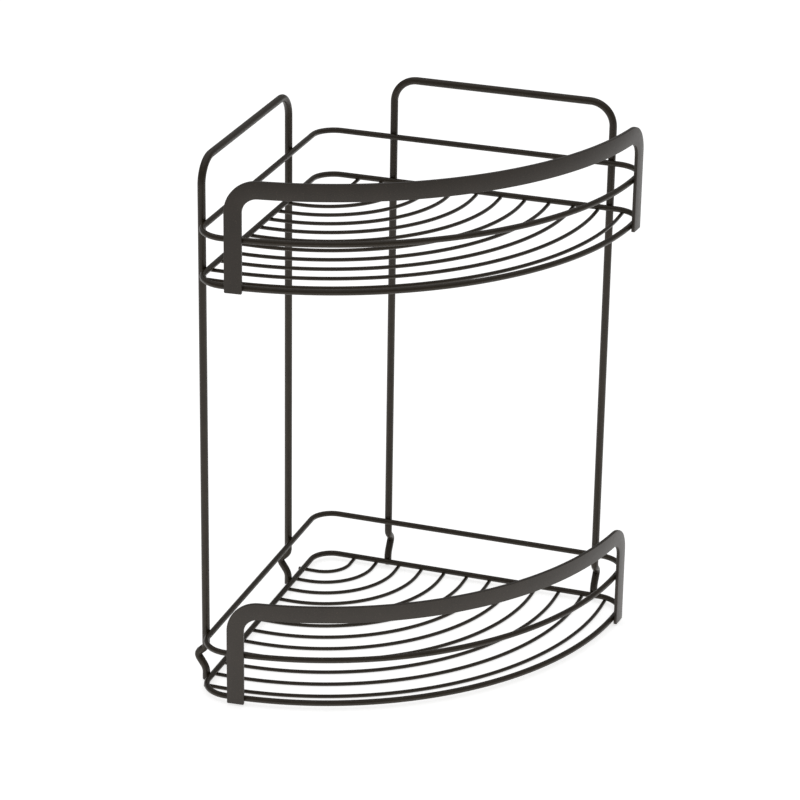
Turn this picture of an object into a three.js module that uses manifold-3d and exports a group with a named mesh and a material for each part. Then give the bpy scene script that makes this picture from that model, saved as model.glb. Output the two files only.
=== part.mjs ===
// A two-shelf corner caddy of welded steel wire, in millimetres, +Z up.
// The wall corner is at the back (+Y), the open front faces -Y, and the plane X = 0 is its mirror plane.
// The origin is the middle of the bounding box's bottom face.
import * as THREE from "three";
import { mergeVertices } from "three/addons/utils/BufferGeometryUtils.js";
import Module from "manifold-3d";

// Stock: finished diameters, powder coat included.
const FRAME_WIRE_RADIUS = 2.25;
const RIM_WIRE_RADIUS = 1.7;
const FLOOR_WIRE_RADIUS = 1.1;
const STRIP_WIDTH = 10;
const STRIP_THICKNESS = 2;
const STRIP_CHAMFER = 0.4;

// Welding presses the floor wires and the wall frames this far into the rims, so each has seats for them.
// A clearance is left between two pieces that a weld joins.
const FLOOR_WIRE_SINK = 0.3;
const FRAME_SINK = 0.6;
const WELD_GAP = 0.3;

// Rim outline, wire centreline. Distances run along the two walls from the corner where they would meet.
const BACK_CORNER_RADIUS = 13.5;
const SIDE_CORNER_RADIUS = 16;
const FRONT_CENTRE = 7.75; // distance of the front arc's centre from each wall line
const FRONT_RADIUS = 191.5;

// Heights of the wire centrelines above each shelf's bottom rim, and of the shelves.
const SHELF_SPACING = 251;
const TOP_RIM_HEIGHT = 27.5;
const GUARD_TOP_HEIGHT = 62.8;
const GUARD_DROP = 2.4;
const FRAME_TOP_HEIGHT = 313.5;
const FRAME_DROP = 2.9;

// Floor wires: concentric quarter circles with straight ends, which cross the rims squarely and reach just
// past them.
const FLOOR_WIRES = 12;
const FLOOR_CENTRE = 6.8;
const FLOOR_FIRST_RADIUS = 16.5;
const FLOOR_PITCH = 14.85;
const FLOOR_OVERHANG = 1.4;
const FIRST_WIRE_OVERHANG = 4.5; // the innermost wire's ends stand out past the rim
const FLOOR_DEPTH = RIM_WIRE_RADIUS + FLOOR_WIRE_RADIUS - FLOOR_WIRE_SINK; // centreline below the rim's

// Guard strip: half the angle between its two legs, and the bend of its centreline.
const GUARD_HALF_ANGLE = THREE.MathUtils.degToRad(40.2);
const GUARD_BEND_RADIUS = 14;

// Wall frames: distances of the legs from the corner, and the top bends.
const INNER_LEG = 45;
const OUTER_LEG = 178.5;
const FRAME_BEND_RADIUS = 14;

// The V-shaped stand-off in each leg: its depth is where its two arms' centrelines would meet, and each arm's
// slope is measured from the leg. The foot is its lower bend and the head its upper one.
const STAND_OFF_HEIGHT = 13;
const STAND_OFF_DEPTH = 5.7;
const STAND_OFF_FOOT_SLOPE = THREE.MathUtils.degToRad(33.5);
const STAND_OFF_HEAD_SLOPE = THREE.MathUtils.degToRad(46.9);
const STAND_OFF_FOOT_RADIUS = 9.5;
const STAND_OFF_HEAD_RADIUS = 4.5;
const STAND_OFF_TIP_RADIUS = 2.6;

// Facets.
const FRAME_SIDES = 8;
const RIM_SIDES = 8;
const FLOOR_SIDES = 6;
const BEND_STEP = THREE.MathUtils.degToRad(15.5);
const STAND_OFF_STEP = THREE.MathUtils.degToRad(13.5);
const SWEEP_STEP = THREE.MathUtils.degToRad(5);
const FLOOR_STEP = THREE.MathUtils.degToRad(7.5);
const SHORT_CHORD = 6; // the longest chord on a small floor wire
const SAME_POINT = 1e-6; // how near a route's two ends are when it is a loop

const RIGHT_ANGLE = Math.PI / 2;
const MIDDLE_ANGLE = Math.PI / 4; // the direction, seen from the corner, of the mirror plane

const blackPowderCoat = () =>
  new THREE.MeshStandardMaterial({ color: 0x322d2a, roughness: 0.55, metalness: 0.2 });

// A curve through given points, which a sweep follows point by point. The section's x axis can be given.
class Route extends THREE.Curve {
  constructor(points, sectionX = null) {
    super();
    this.points = points;
    this.sectionX = sectionX;
    this.isLoop = points[0].distanceTo(points.at(-1)) < SAME_POINT;
  }
  get steps() {
    return this.points.length - 1;
  }
  getUtoTmapping(u) {
    return u;
  }
  getPoint(t, target = new THREE.Vector3()) {
    const place = THREE.MathUtils.clamp(t, 0, 1) * this.steps;
    const before = Math.min(Math.floor(place), this.steps - 1);
    return target.lerpVectors(this.points[before], this.points[before + 1], place - before);
  }
  direction(step) {
    const { steps, points } = this;
    const at = this.isLoop ? (step + steps) % steps : THREE.MathUtils.clamp(step, 0, steps - 1);
    return new THREE.Vector3().subVectors(points[at + 1], points[at]).normalize();
  }
  getTangent(t, target = new THREE.Vector3()) {
    const step = Math.round(t * this.steps);
    return target.addVectors(this.direction(step - 1), this.direction(step)).normalize();
  }
  computeFrenetFrames(segments, closed) {
    if (!this.sectionX) return super.computeFrenetFrames(segments, closed);
    const tangents = this.points.map((_, i) => this.getTangent(i / this.steps));
    const normals = this.sectionX;
    const binormals = tangents.map((tangent, i) =>
      new THREE.Vector3().crossVectors(tangent, normals[i]).normalize());
    return { tangents, normals, binormals };
  }
}

// Points on an arc about (x, y) in a level plane, both ends included.
function levelArc(x, y, radius, from, to, step) {
  const count = Math.max(1, Math.round(Math.abs(to - from) / step));
  return Array.from({ length: count + 1 }, (_, i) => {
    const angle = from + ((to - from) * i) / count;
    return new THREE.Vector3(x + radius * Math.cos(angle), y + radius * Math.sin(angle), 0);
  });
}

// A broken line with each inner corner rounded to its radius.
function roundedLine(corners) {
  const points = [corners[0].at];
  corners.slice(1, -1).forEach(({ at, radius, step }, i) => {
    const back = new THREE.Vector3().subVectors(corners[i].at, at).normalize();
    const ahead = new THREE.Vector3().subVectors(corners[i + 2].at, at).normalize();
    const turn = Math.PI - back.angleTo(ahead);
    const tangentLength = radius * Math.tan(turn / 2);
    const inward = new THREE.Vector3().addVectors(back, ahead).normalize();
    const centre = at.clone().addScaledVector(inward, radius / Math.cos(turn / 2));
    const start = at.clone().addScaledVector(back, tangentLength).sub(centre);
    const axis = new THREE.Vector3().crossVectors(ahead, back).normalize();
    const count = Math.max(2, Math.ceil(turn / step));
    for (let k = 0; k <= count; k++) {
      points.push(start.clone().applyAxisAngle(axis, (turn * k) / count).add(centre));
    }
  });
  points.push(corners.at(-1).at);
  return points;
}

// A regular section whose flats lie on the wire's round surface, with a flat facing each axis.
function wireSection(radius, sides) {
  const cornerRadius = radius / Math.cos(Math.PI / sides);
  const corners = Array.from({ length: sides }, (_, i) => {
    const angle = ((i + 0.5) * 2 * Math.PI) / sides;
    return new THREE.Vector2(cornerRadius * Math.cos(angle), cornerRadius * Math.sin(angle));
  });
  return new THREE.Shape(corners);
}

function stripSection() {
  const x = STRIP_THICKNESS / 2;
  const y = STRIP_WIDTH / 2;
  const cut = STRIP_CHAMFER;
  return new THREE.Shape(
    [
      [x, cut - y], [x, y - cut], [x - cut, y], [cut - x, y],
      [-x, y - cut], [-x, cut - y], [cut - x, -y], [x - cut, -y],
    ].map(([across, along]) => new THREE.Vector2(across, along)),
  );
}

function swept(section, route) {
  return new THREE.ExtrudeGeometry(section, { steps: route.steps, extrudePath: route });
}

function mesh(name, geometry) {
  const made = new THREE.Mesh(geometry, blackPowderCoat());
  made.name = name;
  return made;
}

const wasm = await Module();
wasm.setup();

function solid(geometry) {
  const bare = geometry.clone();
  bare.deleteAttribute("normal");
  bare.deleteAttribute("uv");
  const merged = mergeVertices(bare);
  return new wasm.Manifold(new wasm.Mesh({
    numProp: 3,
    vertProperties: merged.attributes.position.array,
    triVerts: new Uint32Array(merged.index.array),
  }));
}

// The geometry that is left when the tools are cut away, with flat faces.
function cutAway(geometry, tools) {
  const rest = tools.reduce((left, tool) => left.subtract(solid(tool)), solid(geometry)).getMesh();
  const made = new THREE.BufferGeometry();
  made.setAttribute("position", new THREE.BufferAttribute(rest.vertProperties, 3));
  made.setIndex(new THREE.BufferAttribute(rest.triVerts, 1));
  const faceted = made.toNonIndexed();
  faceted.computeVertexNormals();
  return faceted;
}

// From here on, x runs from the corner along the right wall and -y along the left wall: the left half of a
// level outline is the right half mirrored in the line x = -y.
const mirrored = (points) => points.map((p) => new THREE.Vector3(-p.y, -p.x, p.z)).reverse();

// Right half of the rim outline, from the front's middle to the back corner's middle.
function halfOutline() {
  const sideX = FRONT_CENTRE + Math.sqrt(
    (FRONT_RADIUS - SIDE_CORNER_RADIUS) ** 2 - (SIDE_CORNER_RADIUS - FRONT_CENTRE) ** 2,
  );
  const meeting = Math.atan2(SIDE_CORNER_RADIUS - FRONT_CENTRE, sideX - FRONT_CENTRE);
  return [
    ...levelArc(FRONT_CENTRE, -FRONT_CENTRE, FRONT_RADIUS, -MIDDLE_ANGLE, -meeting, SWEEP_STEP),
    ...levelArc(sideX, -SIDE_CORNER_RADIUS, SIDE_CORNER_RADIUS, -meeting, RIGHT_ANGLE, BEND_STEP).slice(1),
    ...levelArc(
      BACK_CORNER_RADIUS, -BACK_CORNER_RADIUS, BACK_CORNER_RADIUS,
      RIGHT_ANGLE, RIGHT_ANGLE + MIDDLE_ANGLE, BEND_STEP,
    ),
  ];
}

// A ring has no ends, so a closed TubeGeometry is a whole surface.
function rimTube(radius) {
  const half = halfOutline();
  const route = new Route([...half, ...mirrored(half).slice(1)]);
  return new THREE.TubeGeometry(route, route.steps, radius, RIM_SIDES, true);
}

function rim(name, height) {
  const made = mesh(name, rimTube(RIM_WIRE_RADIUS));
  made.position.z = height;
  return made;
}

// The seat for a rim at this height: its faces stand off the rim's by the weld's clearance.
const rimSeat = (height) =>
  rimTube(RIM_WIRE_RADIUS + WELD_GAP / Math.cos(Math.PI / RIM_SIDES)).translate(0, 0, height);

function floorWire(name, radius, overhang) {
  const reach = FLOOR_CENTRE + radius;
  const step = Math.min(BEND_STEP, Math.max(FLOOR_STEP, SHORT_CHORD / radius));
  const route = new Route([
    new THREE.Vector3(reach, overhang, 0),
    ...levelArc(FLOOR_CENTRE, -FLOOR_CENTRE, radius, 0, -RIGHT_ANGLE, step),
    new THREE.Vector3(-overhang, -reach, 0),
  ]);
  const wire = swept(wireSection(FLOOR_WIRE_RADIUS, FLOOR_SIDES), route);
  const made = mesh(name, cutAway(wire, [rimSeat(FLOOR_DEPTH)]));
  made.position.z = -FLOOR_DEPTH;
  return made;
}

// The guard's centreline lies on a cylinder: it is drawn flat, as distance round the cylinder against height,
// and then rolled up.
function guard(name) {
  const rollRadius = FRONT_RADIUS + RIM_WIRE_RADIUS + WELD_GAP + STRIP_THICKNESS / 2;
  const legAt = GUARD_HALF_ANGLE * rollRadius;
  const topZ = GUARD_TOP_HEIGHT - STRIP_WIDTH / 2;
  const bend = { radius: GUARD_BEND_RADIUS, step: BEND_STEP };
  const flat = roundedLine([
    { at: new THREE.Vector3(-legAt, 0, -GUARD_DROP) },
    { at: new THREE.Vector3(-legAt, 0, topZ), ...bend },
    { at: new THREE.Vector3(legAt, 0, topZ), ...bend },
    { at: new THREE.Vector3(legAt, 0, -GUARD_DROP) },
  ]);
  const bandEnd = flat.length / 2;
  const band = flat[bandEnd].clone().sub(flat[bandEnd - 1]);
  const bandSteps = Math.round(band.length() / (rollRadius * SWEEP_STEP));
  const along = Array.from({ length: bandSteps - 1 }, (_, i) =>
    flat[bandEnd - 1].clone().addScaledVector(band, (i + 1) / bandSteps));
  flat.splice(bandEnd, 0, ...along);
  const outward = flat.map((p) => {
    const angle = p.x / rollRadius - MIDDLE_ANGLE;
    return new THREE.Vector3(Math.cos(angle), Math.sin(angle), 0);
  });
  const rolled = outward.map((out, i) =>
    new THREE.Vector3(FRONT_CENTRE, -FRONT_CENTRE, flat[i].z).addScaledVector(out, rollRadius));
  return mesh(name, swept(stripSection(), new Route(rolled, outward)));
}

function shelf(level) {
  const group = new THREE.Group();
  group.add(rim(`${level}_bottom_rim`, 0), rim(`${level}_top_rim`, TOP_RIM_HEIGHT));
  group.add(guard(`${level}_guard_strip`));
  for (let i = 0; i < FLOOR_WIRES; i++) {
    const number = String(i + 1).padStart(2, "0");
    const overhang = i === 0 ? FIRST_WIRE_OVERHANG : FLOOR_OVERHANG;
    group.add(floorWire(`${level}_floor_wire_${number}`, FLOOR_FIRST_RADIUS + i * FLOOR_PITCH, overhang));
  }
  return group;
}

// One leg, from its end upwards: along is its distance from the corner.
function legCorners(along, place) {
  const footZ = STAND_OFF_HEIGHT - STAND_OFF_DEPTH / Math.tan(STAND_OFF_FOOT_SLOPE);
  const headZ = STAND_OFF_HEIGHT + STAND_OFF_DEPTH / Math.tan(STAND_OFF_HEAD_SLOPE);
  return [
    { at: place(along, 0, -FRAME_DROP) },
    { at: place(along, 0, footZ), radius: STAND_OFF_FOOT_RADIUS, step: STAND_OFF_STEP },
    {
      at: place(along, STAND_OFF_DEPTH, STAND_OFF_HEIGHT),
      radius: STAND_OFF_TIP_RADIUS,
      step: STAND_OFF_STEP,
    },
    { at: place(along, 0, headZ), radius: STAND_OFF_HEAD_RADIUS, step: STAND_OFF_STEP },
    { at: place(along, 0, FRAME_TOP_HEIGHT), radius: FRAME_BEND_RADIUS, step: BEND_STEP },
  ];
}

// place turns a distance along the wall, a distance from the frame's plane towards the wall, and a height
// into a point.
function wallFrame(name, place) {
  const corners = [...legCorners(OUTER_LEG, place), ...legCorners(INNER_LEG, place).reverse()];
  const wire = swept(wireSection(FRAME_WIRE_RADIUS, FRAME_SIDES), new Route(roundedLine(corners)));
  const rimHeights = [0, TOP_RIM_HEIGHT, SHELF_SPACING, SHELF_SPACING + TOP_RIM_HEIGHT];
  return mesh(name, cutAway(wire, rimHeights.map(rimSeat)));
}

const framePlane = RIM_WIRE_RADIUS + FRAME_WIRE_RADIUS - FRAME_SINK; // outside the rims' centreline
const rimBase = FLOOR_DEPTH + FLOOR_WIRE_RADIUS; // the lowest floor wires touch Z = 0
const lowerShelf = shelf("lower");
const upperShelf = shelf("upper");
upperShelf.position.z = SHELF_SPACING;

const caddy = new THREE.Group();
caddy.add(lowerShelf, upperShelf);
caddy.add(wallFrame("left_wall_frame", (along, out, z) => new THREE.Vector3(-framePlane - out, -along, z)));
caddy.add(wallFrame("right_wall_frame", (along, out, z) => new THREE.Vector3(along, framePlane + out, z)));

// The front of the guards and the back of the rims' corner bound the object from front to back.
const frontReach = FRONT_CENTRE * Math.SQRT2 + FRONT_RADIUS + RIM_WIRE_RADIUS + WELD_GAP + STRIP_THICKNESS;
const backReach = BACK_CORNER_RADIUS * (Math.SQRT2 - 1) - RIM_WIRE_RADIUS;
caddy.rotation.z = -MIDDLE_ANGLE;
caddy.position.set(0, (frontReach + backReach) / 2, rimBase);

const part = new THREE.Group();
part.add(caddy);

export default part;
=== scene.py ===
"""The looks of a two-shelf corner caddy of black powder-coated wire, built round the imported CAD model."""
import math

import bmesh
import bpy
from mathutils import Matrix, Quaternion, Vector


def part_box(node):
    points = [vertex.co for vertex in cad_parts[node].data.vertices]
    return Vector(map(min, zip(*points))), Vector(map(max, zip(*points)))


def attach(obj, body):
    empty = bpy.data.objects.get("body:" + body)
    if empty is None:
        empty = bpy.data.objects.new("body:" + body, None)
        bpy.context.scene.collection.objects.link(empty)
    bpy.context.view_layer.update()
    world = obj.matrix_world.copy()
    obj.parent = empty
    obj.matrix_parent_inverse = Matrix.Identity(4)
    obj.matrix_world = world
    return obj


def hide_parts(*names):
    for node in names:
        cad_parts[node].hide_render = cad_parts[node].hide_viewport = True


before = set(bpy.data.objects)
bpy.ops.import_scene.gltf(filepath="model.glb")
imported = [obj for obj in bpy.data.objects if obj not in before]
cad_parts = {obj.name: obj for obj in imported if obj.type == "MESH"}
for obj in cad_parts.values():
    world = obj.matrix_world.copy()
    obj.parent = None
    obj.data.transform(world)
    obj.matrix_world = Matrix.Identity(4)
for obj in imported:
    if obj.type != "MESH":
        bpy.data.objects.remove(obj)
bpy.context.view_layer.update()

MM = 0.001
RIGHT_ANGLE = math.pi / 2
MIDDLE_ANGLE = math.pi / 4  # the direction, seen from the walls' corner, of the mirror plane
UP = Vector((0, 0, 1))

# The design's driving dimensions, as the CAD has them.
FRAME_RADIUS = 2.25 * MM
STRIP_WIDTH = 10 * MM
STRIP_THICKNESS = 2 * MM
FRAME_SINK = 0.6 * MM
WELD_GAP = 0.3 * MM
BACK_CORNER_RADIUS = 13.5 * MM
SIDE_CORNER_RADIUS = 16 * MM
FRONT_CENTRE = 7.75 * MM
FRONT_RADIUS = 191.5 * MM
FLOOR_CENTRE = 6.8 * MM
FLOOR_FIRST_RADIUS = 16.5 * MM
FLOOR_PITCH = 14.85 * MM
FLOOR_OVERHANG = 1.4 * MM
FIRST_WIRE_OVERHANG = 4.5 * MM
FLOOR_WIRES = 12
GUARD_HALF_ANGLE = math.radians(40.2)
GUARD_BEND_RADIUS = 14 * MM
INNER_LEG = 45 * MM
OUTER_LEG = 178.5 * MM
FRAME_BEND_RADIUS = 14 * MM
STAND_OFF_HEIGHT = 13 * MM
STAND_OFF_DEPTH = 5.7 * MM
STAND_OFF_FOOT_SLOPE = math.radians(33.5)
STAND_OFF_HEAD_SLOPE = math.radians(46.9)
STAND_OFF_FOOT_RADIUS = 9.5 * MM
STAND_OFF_HEAD_RADIUS = 4.5 * MM
STAND_OFF_TIP_RADIUS = 2.6 * MM

# What the frame's boxes give.
SHELVES = ("lower", "upper")
rim_low, rim_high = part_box("lower_bottom_rim")
RIM_RADIUS = (rim_high.z - rim_low.z) / 2
floor_low, floor_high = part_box("lower_floor_wire_01")
FLOOR_RADIUS = (floor_high.z - floor_low.z) / 2
CORNER = rim_high.y + BACK_CORNER_RADIUS * (math.sqrt(2) - 1) - RIM_RADIUS
FRAME_PLANE = RIM_RADIUS + FRAME_RADIUS - FRAME_SINK
FRAME_LOW, FRAME_HIGH = (corner.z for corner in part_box("left_wall_frame"))
GUARD_ROLL = FRONT_RADIUS + RIM_RADIUS + WELD_GAP + STRIP_THICKNESS / 2
SIDE_CORNER = FRONT_CENTRE + math.sqrt(
    (FRONT_RADIUS - SIDE_CORNER_RADIUS) ** 2 - (SIDE_CORNER_RADIUS - FRONT_CENTRE) ** 2
)

# Mesh fineness.
WIRE_STEP = 2.2 * MM
STRAIGHT_STEP = 4.4 * MM
BEND_STEP = math.radians(4)
FEWEST_ARC_STEPS = 2
FEWEST_BEND_STEPS = 4
WIRE_SIDES = 28
FLOOR_SIDES = 20


def middle_z(node):
    low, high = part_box(node)
    return (low.z + high.z) / 2


def place(right, left, z):
    """The point at a distance along the right wall and a distance along the left wall from their corner."""
    return Vector(((right - left) / math.sqrt(2), CORNER - (right + left) / math.sqrt(2), z))


# ---------------------------------------------------------------- routes

def arc(x, y, radius, start, end):
    """Points on an arc in the level plane of the two walls."""
    turn = abs(end - start)
    count = max(FEWEST_ARC_STEPS, math.ceil(max(turn / BEND_STEP, turn * radius / WIRE_STEP)))
    angles = (start + (end - start) * i / count for i in range(count + 1))
    return [(x + radius * math.cos(angle), y + radius * math.sin(angle)) for angle in angles]


def filled(points, closed=False):
    """The same broken line with its long straight stretches divided."""
    out = []
    ends = points[1:] + points[:1] if closed else points[1:]
    for start, end in zip(points, ends):
        count = max(1, math.ceil((end - start).length / STRAIGHT_STEP))
        out += [start.lerp(end, i / count) for i in range(count)]
    return out if closed else out + [points[-1]]


def rounded(corners):
    """A broken line whose inner corners, each (point, radius), are rounded."""
    points = [corners[0][0]]
    for (before, _), (at, radius), (after, _) in zip(corners, corners[1:], corners[2:]):
        back = (before - at).normalized()
        ahead = (after - at).normalized()
        turn = math.pi - back.angle(ahead)
        centre = at + (back + ahead).normalized() * (radius / math.cos(turn / 2))
        arm = at + back * (radius * math.tan(turn / 2)) - centre
        axis = ahead.cross(back).normalized()
        count = max(FEWEST_BEND_STEPS, math.ceil(turn / BEND_STEP))
        points += [centre + Quaternion(axis, turn * i / count) @ arm for i in range(count + 1)]
    return points + [corners[-1][0]]


def rim_route(z):
    """Round one half of the rim, from the front's middle to the back corner, and back round the other."""
    meeting = math.atan2(SIDE_CORNER_RADIUS - FRONT_CENTRE, SIDE_CORNER - FRONT_CENTRE)
    half = arc(FRONT_CENTRE, FRONT_CENTRE, FRONT_RADIUS, MIDDLE_ANGLE, meeting)
    half += arc(SIDE_CORNER, SIDE_CORNER_RADIUS, SIDE_CORNER_RADIUS, meeting, -RIGHT_ANGLE)[1:]
    half += arc(
        BACK_CORNER_RADIUS, BACK_CORNER_RADIUS, BACK_CORNER_RADIUS, -RIGHT_ANGLE, -RIGHT_ANGLE - MIDDLE_ANGLE,
    )
    other = [(b, a) for a, b in reversed(half)]
    return filled([place(a, b, z) for a, b in half + other[1:-1]], closed=True)


def floor_route(radius, overhang, z):
    """A quarter circle with straight ends, which reach past the rim."""
    reach = FLOOR_CENTRE + radius
    quarter = arc(FLOOR_CENTRE, FLOOR_CENTRE, radius, 0, RIGHT_ANGLE)
    return filled([place(a, b, z) for a, b in [(reach, -overhang)] + quarter + [(-overhang, reach)]])


def frame_route(wall):
    """wall turns a distance along the wall, a distance towards it and a height into a point."""
    tip = middle_z("lower_bottom_rim") + STAND_OFF_HEIGHT
    foot = tip - STAND_OFF_DEPTH / math.tan(STAND_OFF_FOOT_SLOPE)
    head = tip + STAND_OFF_DEPTH / math.tan(STAND_OFF_HEAD_SLOPE)

    def leg(along):
        return [
            (wall(along, 0, FRAME_LOW), 0),
            (wall(along, 0, foot), STAND_OFF_FOOT_RADIUS),
            (wall(along, STAND_OFF_DEPTH, tip), STAND_OFF_TIP_RADIUS),
            (wall(along, 0, head), STAND_OFF_HEAD_RADIUS),
            (wall(along, 0, FRAME_HIGH - FRAME_RADIUS), FRAME_BEND_RADIUS),
        ]

    return filled(rounded(leg(OUTER_LEG) + leg(INNER_LEG)[::-1]))


def right_wall(along, out, z):
    return place(along, -FRAME_PLANE - out, z)


def left_wall(along, out, z):
    return place(-FRAME_PLANE - out, along, z)


# ---------------------------------------------------------------- meshes

UPRIGHT = 0.9  # a route that starts steeper than this takes its first across direction from the level


def frames_along(points, closed=False):
    """(point, direction, across, up) at each point, turning as little as possible from one to the next."""
    count = len(points)
    directions = []
    for i, point in enumerate(points):
        before = points[i - 1] if i or closed else point
        after = points[(i + 1) % count] if closed or i < count - 1 else point
        directions.append((after - before).normalized())
    first = directions[0]
    start = UP if abs(first.z) < UPRIGHT else Vector((1, 1, 0)).normalized()
    across = (start - first * start.dot(first)).normalized()
    made = []
    for point, direction in zip(points, directions):
        across = (across - direction * across.dot(direction)).normalized()
        made.append((point, direction, across, direction.cross(across)))
    return made


def circle(radius, sides):
    return [
        (radius * math.cos(2 * math.pi * i / sides), radius * math.sin(2 * math.pi * i / sides))
        for i in range(sides)
    ]


def shell(rings, closed=False):
    """Vertices and faces through rings of equally many points, closed on itself or with a fan on each end."""
    sides = len(rings[0])
    vertices = [point for ring in rings for point in ring]
    faces = []
    for i in range(len(rings) if closed else len(rings) - 1):
        here, there = i * sides, (i + 1) % len(rings) * sides
        for k in range(sides):
            after = (k + 1) % sides
            faces.append((here + k, here + after, there + after, there + k))
    if not closed:
        last = (len(rings) - 1) * sides
        for offset, ring, turned in ((0, rings[0], True), (last, rings[-1], False)):
            centre = len(vertices)
            vertices.append(sum(ring, Vector()) / sides)
            for k in range(sides):
                pair = (offset + k, offset + (k + 1) % sides)
                faces.append((centre, *(pair[::-1] if turned else pair)))
    return vertices, faces


def mesh_of(name, shells):
    """One smooth mesh of closed shells, with every face turned outwards."""
    vertices, faces = [], []
    for points, corners in shells:
        offset = len(vertices)
        vertices += points
        faces += [[offset + k for k in face] for face in corners]
    mesh = bpy.data.meshes.new(name)
    mesh.from_pydata(vertices, [], faces)
    work = bmesh.new()
    work.from_mesh(mesh)
    bmesh.ops.recalc_face_normals(work, faces=work.faces)
    work.to_mesh(mesh)
    work.free()
    mesh.shade_smooth()
    return mesh


def bend_at(made, i, closed):
    """How sharply the route turns at a point, as a vector towards the inside of the bend, in 1/m."""
    count = len(made)
    if not closed and i in (0, count - 1):
        return Vector()
    before, here, after = made[i - 1], made[i], made[(i + 1) % count]
    length = ((after[0] - here[0]).length + (here[0] - before[0]).length) / 2
    return (after[1] - before[1]) / (2 * length)


FLATTENING = 0.13  # share of its radius that a wire loses in a bend whose radius is the wire's own


def wire_mesh(name, points, radius, sides, closed=False):
    """A round wire: it flattens a little in its bends, and its cut ends are rounded by the coat."""
    made = frames_along(points, closed)
    section = circle(radius, sides)
    rings = []
    for i, (point, _, across, up) in enumerate(made):
        bend = bend_at(made, i, closed)
        inward = bend.normalized()
        loss = FLATTENING * min(1.0, bend.length * radius)
        ring = []
        for x, y in section:
            out = across * x + up * y
            out -= inward * (out.dot(inward) * loss)
            ring.append(point + out)
        rings.append(ring)
    if not closed:
        first = end_rings(rings[0], made[0], -1, radius)[::-1]
        rings = first + rings[1:-1] + end_rings(rings[-1], made[-1], 1, radius)
    return mesh_of(name, [shell(rings, closed)])


END_ROUNDING = 0.22  # of the radius
END_STEPS = 4
END_FACE = 0.4  # the innermost ring on the flat cut, as a share of the radius


def end_rings(ring, made, sign, radius):
    """The last rings of a wire: a rounded edge and then a flat cut."""
    point, direction = made[0], made[1] * sign
    depth = END_ROUNDING * radius
    out = []
    for i in range(END_STEPS + 1):
        angle = RIGHT_ANGLE * i / END_STEPS
        shrink = 1 - END_ROUNDING * (1 - math.cos(angle))
        shift = direction * (depth * (math.sin(angle) - 1))
        out.append([point + (p - point) * shrink + shift for p in ring])
    out.append([point + (p - point) * END_FACE for p in ring])
    return out


STRIP_EDGE = 0.3 * MM  # the radius of the strip's long edges
STRIP_EDGE_STEPS = 4
STRIP_END_RADIUS = 0.7 * MM  # the radius of the corners at the strip's ends
TIP_STATIONS = (0, 0.05, 0.15, 0.3, 0.45, 0.7, 1, 2)  # distances from the end, in end radii


def strip_section(thickness, width):
    """A flat bar's section with rounded edges, as (depth, across) pairs."""
    x = thickness / 2 - STRIP_EDGE
    y = width / 2 - STRIP_EDGE
    points = []
    for quarter, (sx, sy) in enumerate(((1, 1), (-1, 1), (-1, -1), (1, -1))):
        for i in range(STRIP_EDGE_STEPS + 1):
            angle = RIGHT_ANGLE * (quarter + i / STRIP_EDGE_STEPS)
            points.append((sx * x + STRIP_EDGE * math.cos(angle), sy * y + STRIP_EDGE * math.sin(angle)))
    return points


def guard_mesh(name, low, high):
    """The strip's centreline is drawn flat, as distance round the front against height, and then rolled."""
    leg = GUARD_HALF_ANGLE * GUARD_ROLL
    top = high - STRIP_WIDTH / 2
    flat = filled(rounded([
        (Vector((-leg, 0, low)), 0),
        (Vector((-leg, 0, top)), GUARD_BEND_RADIUS),
        (Vector((leg, 0, top)), GUARD_BEND_RADIUS),
        (Vector((leg, 0, low)), 0),
    ]))
    flat = tip_points(flat[0], flat[1]) + flat[2:-2] + tip_points(flat[-1], flat[-2])[::-1]
    rings = []
    for point, direction, _, _ in frames_along(flat):
        to_tip = min((point - flat[0]).length, (point - flat[-1]).length)
        width = STRIP_WIDTH - 2 * corner_cut(to_tip, STRIP_END_RADIUS)
        thickness = STRIP_THICKNESS - 2 * corner_cut(to_tip, STRIP_EDGE)
        side = Vector((0, -1, 0)).cross(direction)
        ring = []
        for depth, across in strip_section(thickness, width):
            drawn = point + side * across
            ring.append(rolled(drawn.x / GUARD_ROLL, GUARD_ROLL + depth, drawn.z))
        rings.append(ring)
    return mesh_of(name, [shell(rings)])


def tip_points(end, inner):
    """Points near the strip's end, where its corners and its edges are rounded."""
    direction = (inner - end).normalized()
    return [end + direction * (STRIP_END_RADIUS * station) for station in TIP_STATIONS]


def corner_cut(distance, radius):
    """How far a rounded corner takes a side in, at a distance from the end."""
    if distance >= radius:
        return 0
    return radius - math.sqrt(radius ** 2 - (radius - distance) ** 2)


def rolled(angle, radius, z):
    """The point on the front's cylinder at an angle from the mirror plane, positive to the right."""
    return place(
        FRONT_CENTRE + radius * math.cos(MIDDLE_ANGLE - angle),
        FRONT_CENTRE + radius * math.sin(MIDDLE_ANGLE - angle),
        z,
    )


# ---------------------------------------------------------------- welds

WELD_SIDES = 24
WELD_STEPS = 7
WELD_GRIP = 0.86  # how far round a wire the weld holds it, as a share of its radius
WELD_WAIST = 0.55  # where the weld's hollow side points, as a share of its grip
WELD_SPREAD = 0.55 * MM  # how far past the other wire the weld runs along each wire
WELD_SINK = 0.04 * MM  # how deep the weld's feet lie in the wires
WELD_ROOT = 0.5  # how far the hidden ends of a weld are drawn in
STRIP_WELD_HALF = 3.6 * MM  # half the length of a strip's weld along the rim


def weld(make_foot, make_waist, make_other):
    """A bead with hollow sides between two feet, each given by a function of the angle round the contact."""
    angles = [2 * math.pi * i / WELD_SIDES for i in range(WELD_SIDES)]
    rings = []
    for step in range(WELD_STEPS + 1):
        t = step / WELD_STEPS
        rings.append([
            make_foot(angle) * (1 - t) ** 2
            + make_waist(angle) * (2 * t * (1 - t))
            + make_other(angle) * t ** 2
            for angle in angles
        ])
    return rings


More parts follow.
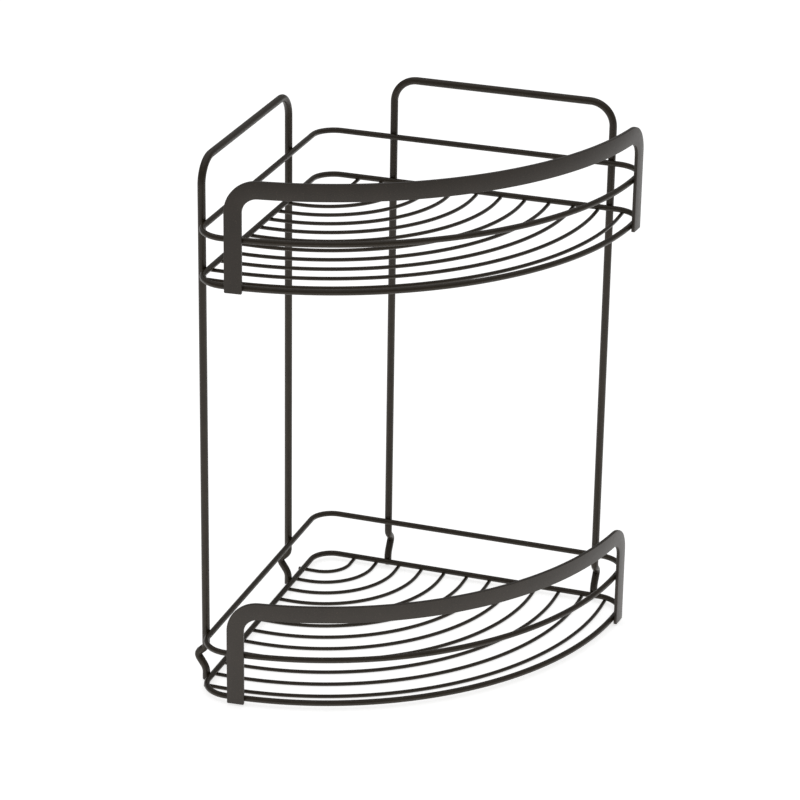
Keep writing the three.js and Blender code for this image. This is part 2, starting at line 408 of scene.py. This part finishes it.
def root_ring(ring, centre):
    """The hidden end of a weld, drawn in towards the middle of the wire."""
    return [centre + (point - centre) * WELD_ROOT for point in ring]


def cross_weld(first, first_way, first_radius, second, second_way, second_radius):
    """The weld where two round wires cross, each given by its centre there, its direction and its radius."""
    axis = (second - first).normalized()
    across_first = axis.cross(first_way).normalized()
    if across_first.dot(second_way) < 0:
        second_way = -second_way
    across_second = axis.cross(second_way).normalized()
    if across_second.dot(first_way) < 0:
        across_second = -across_second
    grip_first = WELD_GRIP * first_radius
    grip_second = WELD_GRIP * second_radius
    contact = first + axis * ((second - first).length + first_radius - second_radius) / 2

    def foot(angle):
        x, y = math.cos(angle), math.sin(angle)
        height = math.sqrt(first_radius ** 2 - (grip_first * y) ** 2) - WELD_SINK
        along = first_way * ((grip_second + WELD_SPREAD) * x)
        return first + along + across_first * (grip_first * y) + axis * height

    def other(angle):
        x, y = math.cos(angle), math.sin(angle)
        height = math.sqrt(second_radius ** 2 - (grip_second * x) ** 2) - WELD_SINK
        along = second_way * ((grip_first + WELD_SPREAD) * y)
        return second + across_second * (grip_second * x) + along - axis * height

    def waist(angle):
        x, y = WELD_WAIST * math.cos(angle), WELD_WAIST * math.sin(angle)
        return contact + across_second * (grip_second * x) + across_first * (grip_first * y)

    rings = weld(foot, waist, other)
    return shell([root_ring(rings[0], first)] + rings + [root_ring(rings[-1], second)])


def strip_weld(centre, way, radius, outwards):
    """The weld between a round wire and the flat inner face of the strip that stands against it."""
    up = way.cross(outwards).normalized()
    face = centre + outwards * (radius + WELD_GAP + WELD_SINK)
    middle = face + outwards * (STRIP_THICKNESS / 2)
    grip = WELD_GRIP * radius

    def foot(angle):
        x, y = STRIP_WELD_HALF * math.cos(angle), grip * math.sin(angle)
        return centre + way * x + up * y + outwards * (math.sqrt(radius ** 2 - y ** 2) - WELD_SINK)

    def other(angle):
        x = (STRIP_WELD_HALF + WELD_SPREAD / 2) * math.cos(angle)
        return face + way * x + up * ((grip + WELD_SPREAD) * math.sin(angle))

    def waist(angle):
        return face + way * (STRIP_WELD_HALF * math.cos(angle)) + up * (WELD_WAIST * grip * math.sin(angle))

    rings = weld(foot, waist, other)
    return shell([root_ring(rings[0], centre)] + rings + [root_ring(rings[-1], middle)])


def way(right, left):
    """The direction of a step along the right wall and a step along the left wall."""
    return (place(right, left, 0) - place(0, 0, 0)).normalized()


def frame_welds(wall, wall_way):
    """A wall frame's legs cross every rim."""
    return [
        cross_weld(wall(leg, 0, z), UP, FRAME_RADIUS, wall(leg, -FRAME_PLANE, z), wall_way, RIM_RADIUS)
        for leg in (INNER_LEG, OUTER_LEG)
        for z in rim_heights(SHELVES)
    ]


def rim_heights(shelves):
    return [middle_z(f"{level}_{rim}_rim") for level in shelves for rim in ("bottom", "top")]


def crossing(radius):
    """Where a floor wire crosses the rim by the right wall: the point, and both directions there, in plan."""
    a = FLOOR_CENTRE + radius
    if a < SIDE_CORNER:
        return (a, 0), (0, 1), (1, 0)
    b = SIDE_CORNER_RADIUS - math.sqrt(SIDE_CORNER_RADIUS ** 2 - (a - SIDE_CORNER) ** 2)
    return (a, b), (0, 1), (SIDE_CORNER_RADIUS - b, a - SIDE_CORNER)


def floor_welds(level):
    """Both ends of every floor wire, under the bottom rim."""
    rim_z, floor_z = middle_z(f"{level}_bottom_rim"), middle_z(f"{level}_floor_wire_01")
    shells = []
    for i in range(FLOOR_WIRES):
        (a, b), wire_way, rim_way = crossing(FLOOR_FIRST_RADIUS + i * FLOOR_PITCH)
        for swap in (False, True):
            point, along_wire, along_rim = (
                (p[1], p[0]) if swap else p for p in ((a, b), wire_way, rim_way)
            )
            shells.append(cross_weld(
                place(*point, rim_z), way(*along_rim), RIM_RADIUS,
                place(*point, floor_z), way(*along_wire), FLOOR_RADIUS,
            ))
    return shells


def guard_welds(level):
    """Each leg of the guard strip stands against the bottom rim and the top rim."""
    shells = []
    for side in (-1, 1):
        angle = MIDDLE_ANGLE - side * GUARD_HALF_ANGLE
        outwards = way(math.cos(angle), math.sin(angle))
        along = way(-math.sin(angle), math.cos(angle))
        for z in rim_heights([level]):
            centre = rolled(side * GUARD_HALF_ANGLE, FRONT_RADIUS, z)
            shells.append(strip_weld(centre, along, RIM_RADIUS, outwards))
    return shells


# ---------------------------------------------------------------- materials

# Each noise is (scale, detail), with the scale in cells per metre.
TONE_NOISE = (90, 2)
TONE_STOPS = (0.35, 0.68)
GRAIN_NOISE = (1500, 1)
GRAIN_STOPS = (0.60, 0.74)
GRAIN_LIFT = 2.0  # how much paler than the coat's light tone a grain is
GLOSS_NOISE = (700, 3)
GLOSS_SPREAD = 0.07  # to either side of the coat's roughness
PEEL_NOISE = (1700, 2)
PEEL_STRENGTH = 0.35
PEEL_DEPTH = 0.08 * MM
SPECULAR_TINT = (1, 0.95, 0.9, 1)
BLACK, WHITE = (0, 0, 0, 1), (1, 1, 1, 1)


def powder_coat(name, dark, light, roughness, specular):
    """Near-black brown powder coat: a fine orange peel, small pale grains and a slow change of tone."""
    material = bpy.data.materials.new(name)
    material.use_nodes = True
    nodes, links = material.node_tree.nodes, material.node_tree.links
    shader = nodes["Principled BSDF"]
    place_on = nodes.new("ShaderNodeTexCoord").outputs["Object"]

    def noise(scale, detail):
        node = nodes.new("ShaderNodeTexNoise")
        node.inputs["Scale"].default_value = scale
        node.inputs["Detail"].default_value = detail
        links.new(place_on, node.inputs["Vector"])
        return node.outputs["Fac"]

    def ramp(value, stops, colors):
        node = nodes.new("ShaderNodeValToRGB")
        for element, stop, color in zip(node.color_ramp.elements, stops, colors):
            element.position, element.color = stop, color
        links.new(value, node.inputs["Fac"])
        return node.outputs["Color"]

    tone = ramp(noise(*TONE_NOISE), TONE_STOPS, ((*dark, 1), (*light, 1)))
    grains = ramp(noise(*GRAIN_NOISE), GRAIN_STOPS, (BLACK, WHITE))
    mix = nodes.new("ShaderNodeMix")
    mix.data_type = "RGBA"
    mix.inputs["B"].default_value = (*(GRAIN_LIFT * c for c in light), 1)
    links.new(grains, mix.inputs["Factor"])
    links.new(tone, mix.inputs["A"])
    links.new(mix.outputs["Result"], shader.inputs["Base Color"])
    rough = nodes.new("ShaderNodeMapRange")
    rough.inputs["To Min"].default_value = roughness - GLOSS_SPREAD
    rough.inputs["To Max"].default_value = roughness + GLOSS_SPREAD
    links.new(noise(*GLOSS_NOISE), rough.inputs["Value"])
    links.new(rough.outputs["Result"], shader.inputs["Roughness"])
    bump = nodes.new("ShaderNodeBump")
    bump.inputs["Strength"].default_value = PEEL_STRENGTH
    bump.inputs["Distance"].default_value = PEEL_DEPTH
    links.new(noise(*PEEL_NOISE), bump.inputs["Height"])
    links.new(bump.outputs["Normal"], shader.inputs["Normal"])
    shader.inputs["Specular IOR Level"].default_value = specular
    shader.inputs["Specular Tint"].default_value = SPECULAR_TINT
    return material


WIRE_COAT = powder_coat(
    "wire_powder_coat",
    dark=(0.0190, 0.0135, 0.0074),
    light=(0.0250, 0.0178, 0.0100),
    roughness=0.36,
    specular=0.43,
)
STRIP_COAT = powder_coat(
    "strip_powder_coat",
    dark=(0.0160, 0.0113, 0.0075),
    light=(0.0208, 0.0147, 0.0099),
    roughness=0.36,
    specular=0.58,
)

# The floor under the object and behind it has painted light: its emission is a pool of painted glow in an
# oval, turned towards the camera, and a weaker painted glow outside it.
CAMERA_AZIMUTH = math.radians(-26.4)
GLOW_CENTRE = (0.267, 0.538, 0)
GLOW_REACH = (1.2, 1.9, 1)
GLOW_EDGE = 0.5  # share of the reach over which the glow fades
# painted glow: the floor's emission strength outside the oval and inside it
GLOW_OUTSIDE, GLOW_INSIDE = 0.33, 0.71
FLOOR_DARK, FLOOR_LIGHT = (0.86, 0.86, 0.855, 1), (0.89, 0.89, 0.885, 1)
FLOOR_NOISE_SCALE = 3
FLOOR_ROUGHNESS = 0.9


def painted_glow_floor_material():
    """A pale floor with painted light: its emission paints a pool of light round the object and behind it."""
    material = bpy.data.materials.new("painted_glow_floor")
    material.use_nodes = True
    nodes, links = material.node_tree.nodes, material.node_tree.links
    shader = nodes["Principled BSDF"]
    noise = nodes.new("ShaderNodeTexNoise")
    noise.inputs["Scale"].default_value = FLOOR_NOISE_SCALE
    ramp = nodes.new("ShaderNodeValToRGB")
    ramp.color_ramp.elements[0].color = FLOOR_DARK
    ramp.color_ramp.elements[1].color = FLOOR_LIGHT
    place_on = nodes.new("ShaderNodeTexCoord").outputs["Object"]
    links.new(place_on, noise.inputs["Vector"])
    links.new(noise.outputs["Fac"], ramp.inputs["Fac"])
    links.new(ramp.outputs["Color"], shader.inputs["Base Color"])
    shader.inputs["Roughness"].default_value = FLOOR_ROUGHNESS
    # painted light: the oval pool of glow round the object and behind it, turned towards the camera
    painted_glow_area = nodes.new("ShaderNodeMapping")
    painted_glow_area.vector_type = "TEXTURE"
    painted_glow_area.inputs["Location"].default_value = GLOW_CENTRE
    painted_glow_area.inputs["Rotation"].default_value = (0, 0, CAMERA_AZIMUTH)
    painted_glow_area.inputs["Scale"].default_value = GLOW_REACH
    nearness = nodes.new("ShaderNodeTexGradient")
    nearness.gradient_type = "SPHERICAL"
    glow = nodes.new("ShaderNodeMapRange")
    glow.interpolation_type = "SMOOTHSTEP"
    glow.inputs["From Max"].default_value = GLOW_EDGE
    glow.inputs["To Min"].default_value = GLOW_OUTSIDE
    glow.inputs["To Max"].default_value = GLOW_INSIDE
    links.new(place_on, painted_glow_area.inputs["Vector"])
    links.new(painted_glow_area.outputs["Vector"], nearness.inputs["Vector"])
    links.new(nearness.outputs["Fac"], glow.inputs["Value"])
    # the painted glow drives the floor's emission strength
    links.new(glow.outputs["Result"], shader.inputs["Emission Strength"])
    shader.inputs["Emission Color"].default_value = WHITE
    return material


# ---------------------------------------------------------------- pieces

def piece(name, mesh, material, node=None):
    made = bpy.data.objects.new(name, mesh)
    bpy.context.scene.collection.objects.link(made)
    made.data.materials.append(material)
    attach(made, "root")
    if node:
        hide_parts(node)


def wire(node, points, radius, sides, closed=False):
    mesh = wire_mesh(node, points, radius, sides, closed)
    piece(f"{node}_coated", mesh, WIRE_COAT, node)


def welds(name, shells):
    piece(name, mesh_of(name, shells), WIRE_COAT)


def shelf(level):
    for rim in (f"{level}_bottom_rim", f"{level}_top_rim"):
        wire(rim, rim_route(middle_z(rim)), RIM_RADIUS, WIRE_SIDES, closed=True)
    for i in range(FLOOR_WIRES):
        node = f"{level}_floor_wire_{i + 1:02d}"
        overhang = FLOOR_OVERHANG if i else FIRST_WIRE_OVERHANG
        route = floor_route(FLOOR_FIRST_RADIUS + i * FLOOR_PITCH, overhang, middle_z(node))
        wire(node, route, FLOOR_RADIUS, FLOOR_SIDES)
    node = f"{level}_guard_strip"
    low, high = (corner.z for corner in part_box(node))
    piece(f"{node}_coated", guard_mesh(node, low, high), STRIP_COAT, node)


for level in SHELVES:
    shelf(level)
wire("left_wall_frame", frame_route(left_wall), FRAME_RADIUS, WIRE_SIDES)
wire("right_wall_frame", frame_route(right_wall), FRAME_RADIUS, WIRE_SIDES)
for level in SHELVES:
    welds(f"{level}_floor_wire_welds", floor_welds(level))
    welds(f"{level}_guard_welds", guard_welds(level))
welds("left_frame_welds", frame_welds(left_wall, way(0, 1)))
welds("right_frame_welds", frame_welds(right_wall, way(1, 0)))


# ---------------------------------------------------------------- stage, light and camera

FLOOR_HALF = 12.0
WORLD_STRENGTH = 0.32
OVERHEAD_PLACE = Vector((0.1, 0.2, 1.6))
OVERHEAD_AIM = Vector((0.1, 0.2, 0))
OVERHEAD_SIZE = 2.2
OVERHEAD_POWER = 7


def stage_floor():
    mesh = bpy.data.meshes.new("floor")
    corners = [(FLOOR_HALF * x, FLOOR_HALF * y, 0) for x, y in ((-1, -1), (1, -1), (1, 1), (-1, 1))]
    mesh.from_pydata(corners, [], [(0, 1, 2, 3)])
    floor = bpy.data.objects.new("floor", mesh)
    bpy.context.scene.collection.objects.link(floor)
    floor.data.materials.append(painted_glow_floor_material())


def overhead_light():
    data = bpy.data.lights.new("overhead", "AREA")
    data.shape = "SQUARE"
    data.size = OVERHEAD_SIZE
    data.energy = OVERHEAD_POWER
    light = bpy.data.objects.new("overhead", data)
    bpy.context.scene.collection.objects.link(light)
    light.location = OVERHEAD_PLACE
    light.rotation_mode = "QUATERNION"
    light.rotation_quaternion = (OVERHEAD_AIM - OVERHEAD_PLACE).to_track_quat("-Z", "Y")


def world_light():
    world = bpy.data.worlds.new("studio")
    bpy.context.scene.world = world
    world.use_nodes = True
    background = world.node_tree.nodes["Background"]
    background.inputs["Color"].default_value = WHITE
    background.inputs["Strength"].default_value = WORLD_STRENGTH


CAMERA_ELEVATION = math.radians(22.9)
CAMERA_ROLL = math.radians(0.9)
CAMERA_DISTANCE = 1.860
CAMERA_AIM = Vector((0.0033, 0, 0.1464))
CAMERA_LENS = 143.1
SENSOR_WIDTH = 36
CLIP_START, CLIP_END = 0.05, 60


def camera():
    data = bpy.data.cameras.new("camera")
    data.sensor_width = SENSOR_WIDTH
    data.lens = CAMERA_LENS
    data.clip_start, data.clip_end = CLIP_START, CLIP_END
    view = bpy.data.objects.new("camera", data)
    bpy.context.scene.collection.objects.link(view)
    level = math.cos(CAMERA_ELEVATION)
    back = Vector((
        math.sin(CAMERA_AZIMUTH) * level, -math.cos(CAMERA_AZIMUTH) * level, math.sin(CAMERA_ELEVATION),
    ))
    view.location = CAMERA_AIM + back * CAMERA_DISTANCE
    view.rotation_mode = "QUATERNION"
    view.rotation_quaternion = (-back).to_track_quat("-Z", "Y") @ Quaternion((0, 0, 1), CAMERA_ROLL)
    bpy.context.scene.camera = view


stage_floor()
world_light()
overhead_light()
bpy.context.scene.view_settings.view_transform = "Standard"
camera()
